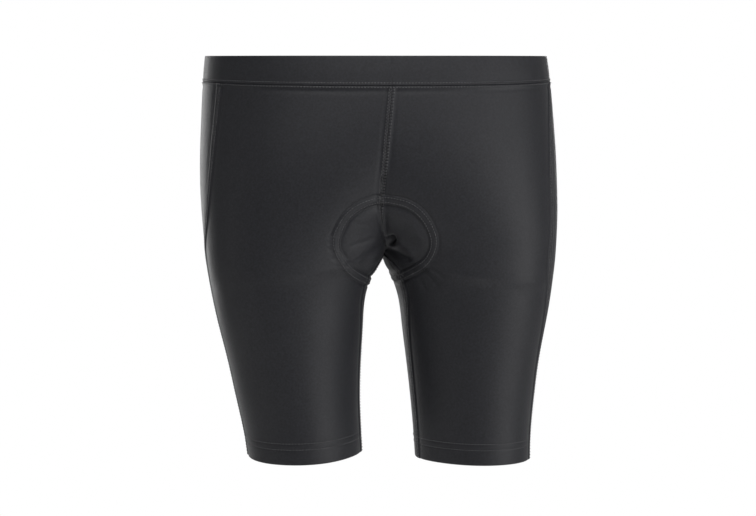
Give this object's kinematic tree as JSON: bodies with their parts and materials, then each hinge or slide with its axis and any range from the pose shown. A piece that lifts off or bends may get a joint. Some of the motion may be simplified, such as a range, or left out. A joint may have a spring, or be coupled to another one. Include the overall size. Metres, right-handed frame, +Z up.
{
  "type": "cycling shorts",
  "caption": "Close-fitting pull-on cycling shorts with an elastic waist and a padded crotch, hollow and filled out as worn, for display or a figure.",
  "frame": {"origin": "middle of the waist opening, where the wearer's hips hold the shorts", "axes": "+Z up out of the waist, +X to the wearer's left, +Y to the back"},
  "size_m": [0.355, 0.219, 0.4141],
  "materials": {
    "panel_knit": "charcoal-black stretch knit with a soft satin sheen",
    "band_knit": "charcoal-black stretch knit over elastic",
    "pad_fleece": "matt brushed fleece over foam"
  },
  "bodies": {
    "root": {"front_right": "panel_knit", "front_left": "panel_knit", "back_right": "panel_knit", "back_left": "panel_knit", "waistband": "band_knit", "seat_pad": "pad_fleece"}
  },
  "joints": []
}
